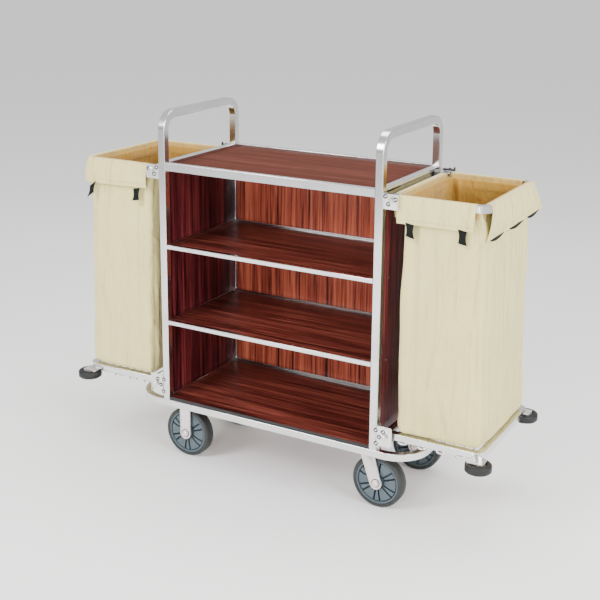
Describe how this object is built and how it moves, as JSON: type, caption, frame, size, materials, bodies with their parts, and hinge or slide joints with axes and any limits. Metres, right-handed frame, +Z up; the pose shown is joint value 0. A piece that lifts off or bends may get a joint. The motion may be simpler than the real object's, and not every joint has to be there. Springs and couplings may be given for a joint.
{
  "type": "housekeeping cart",
  "caption": "Hotel housekeeping cart: open shelf body on casters inside a bumper ring, with a folding canvas linen bag and tray at each end.",
  "frame": {"origin": "on the floor, under the middle of the cart", "axes": "+X along the cart towards the end with the swivel casters, the open side of the shelves faces -Y, +Z up"},
  "size_m": [1.79, 0.592, 1.404],
  "materials": {
    "frame_tube": "polished stainless tube",
    "bright_wire": "bright plated rod",
    "zinc_steel": "zinc plated pressed steel",
    "bracket_plate": "satin plate",
    "edge_trim": "black edge strip",
    "side_laminate": "dark red-brown laminate, upright grain",
    "back_laminate": "orange-red laminate, upright grain",
    "shelf_laminate": "red-brown laminate, grain along the shelf",
    "top_laminate": "brown laminate",
    "wheel_rubber": "dark grey elastic tyre",
    "wheel_plastic": "blue-grey moulding",
    "roller_rubber": "black bumper rubber",
    "bag_canvas": "cream coated canvas",
    "strap_webbing": "black webbing"
  },
  "bodies": {
    "cart": {"base_ring": "frame_tube", "caster_mount_plates": "zinc_steel", "end_hoop_right": "frame_tube", "end_hoop_left": "frame_tube", "top_rails": "frame_tube", "upper_shelf_rails": "frame_tube", "lower_shelf_rails": "frame_tube", "deck_rails": "frame_tube", "top_board": "top_laminate", "upper_shelf_board": "shelf_laminate", "lower_shelf_board": "shelf_laminate", "board_ledges": "frame_tube", "deck_board": "shelf_laminate", "deck_edge_strip": "edge_trim", "side_panel_right": "side_laminate", "side_panel_left": "side_laminate", "back_panel": "back_laminate", "panel_screws": "bright_wire", "hinge_brackets_right": "bracket_plate", "hinge_brackets_left": "bracket_plate", "hinge_pins_right": "bright_wire", "hinge_pins_left": "bright_wire", "hinge_spacers": "bracket_plate", "fixed_fork_front": "zinc_steel", "fixed_fork_rear": "zinc_steel", "fixed_axles": "zinc_steel", "swivel_top_plates": "zinc_steel", "swivel_kingpins": "zinc_steel", "caster_bolts": "zinc_steel"},
    "bag_holder_right": {"bag_frame_right": "frame_tube", "linen_bag_right": "bag_canvas", "bag_straps_right": "strap_webbing"},
    "tray_right": {"tray_frame_right": "frame_tube", "tray_wires_right": "bright_wire", "roller_plates_right": "zinc_steel", "roller_bolts_right": "bright_wire"},
    "bumper_roller_front_right": {"bumper_roller_front_right": "roller_rubber"},
    "bumper_roller_rear_right": {"bumper_roller_rear_right": "roller_rubber"},
    "bag_holder_left": {"bag_frame_left": "frame_tube", "linen_bag_left": "bag_canvas", "bag_straps_left": "strap_webbing"},
    "tray_left": {"tray_frame_left": "frame_tube", "tray_wires_left": "bright_wire", "roller_plates_left": "zinc_steel", "roller_bolts_left": "bright_wire"},
    "bumper_roller_front_left": {"bumper_roller_front_left": "roller_rubber"},
    "bumper_roller_rear_left": {"bumper_roller_rear_left": "roller_rubber"},
    "swivel_fork_body_front": {"swivel_fork_front": "zinc_steel", "swivel_axle_front": "zinc_steel"},
    "wheel_front_left": {"wheel_core_front_left": "wheel_plastic", "wheel_tread_front_left": "wheel_rubber"},
    "wheel_front_right": {"wheel_core_front_right": "wheel_plastic", "wheel_tread_front_right": "wheel_rubber"},
    "swivel_fork_body_rear": {"swivel_fork_rear": "zinc_steel", "swivel_axle_rear": "zinc_steel"},
    "wheel_rear_left": {"wheel_core_rear_left": "wheel_plastic", "wheel_tread_rear_left": "wheel_rubber"},
    "wheel_rear_right": {"wheel_core_rear_right": "wheel_plastic", "wheel_tread_rear_right": "wheel_rubber"}
  },
  "joints": [
    {"name": "bag_frame_fold_right", "type": "hinge", "parent": "cart", "child": "bag_holder_right", "pos_m": [0.5015, 0, 1.1775], "axis": [0, -1, 0], "range_deg": [0, 90]},
    {"name": "tray_fold_right", "type": "hinge", "parent": "cart", "child": "tray_right", "pos_m": [0.5015, 0, 0.3145], "axis": [0, -1, 0], "range_deg": [0, 90], "deforming": ["linen_bag_right"]},
    {"name": "bumper_roller_front_right_spin", "type": "hinge", "parent": "tray_right", "child": "bumper_roller_front_right", "pos_m": [0.848, -0.249, 0.282], "axis": [0, 0, 1], "continuous": true},
    {"name": "bumper_roller_rear_right_spin", "type": "hinge", "parent": "tray_right", "child": "bumper_roller_rear_right", "pos_m": [0.848, 0.249, 0.282], "axis": [0, 0, 1], "continuous": true},
    {"name": "bag_frame_fold_left", "type": "hinge", "parent": "cart", "child": "bag_holder_left", "pos_m": [-0.5015, 0, 1.1775], "axis": [0, 1, 0], "range_deg": [0, 90]},
    {"name": "tray_fold_left", "type": "hinge", "parent": "cart", "child": "tray_left", "pos_m": [-0.5015, 0, 0.3145], "axis": [0, 1, 0], "range_deg": [0, 90], "deforming": ["linen_bag_left"]},
    {"name": "bumper_roller_front_left_spin", "type": "hinge", "parent": "tray_left", "child": "bumper_roller_front_left", "pos_m": [-0.848, -0.249, 0.282], "axis": [0, 0, 1], "continuous": true},
    {"name": "bumper_roller_rear_left_spin", "type": "hinge", "parent": "tray_left", "child": "bumper_roller_rear_left", "pos_m": [-0.848, 0.249, 0.282], "axis": [0, 0, 1], "continuous": true},
    {"name": "caster_swivel_front", "type": "hinge", "parent": "cart", "child": "swivel_fork_body_front", "pos_m": [0.4, -0.175, 0.2305], "axis": [0, 0, 1], "continuous": true},
    {"name": "wheel_front_left_spin", "type": "hinge", "parent": "cart", "child": "wheel_front_left", "pos_m": [-0.4, -0.175, 0.1], "axis": [0, 1, 0], "continuous": true},
    {"name": "wheel_front_right_spin", "type": "hinge", "parent": "swivel_fork_body_front", "child": "wheel_front_right", "pos_m": [0.445, -0.175, 0.1], "axis": [0, 1, 0], "continuous": true},
    {"name": "caster_swivel_rear", "type": "hinge", "parent": "cart", "child": "swivel_fork_body_rear", "pos_m": [0.4, 0.175, 0.2305], "axis": [0, 0, 1], "continuous": true},
    {"name": "wheel_rear_left_spin", "type": "hinge", "parent": "cart", "child": "wheel_rear_left", "pos_m": [-0.4, 0.175, 0.1], "axis": [0, 1, 0], "continuous": true},
    {"name": "wheel_rear_right_spin", "type": "hinge", "parent": "swivel_fork_body_rear", "child": "wheel_rear_right", "pos_m": [0.445, 0.175, 0.1], "axis": [0, 1, 0], "continuous": true}
  ]
}
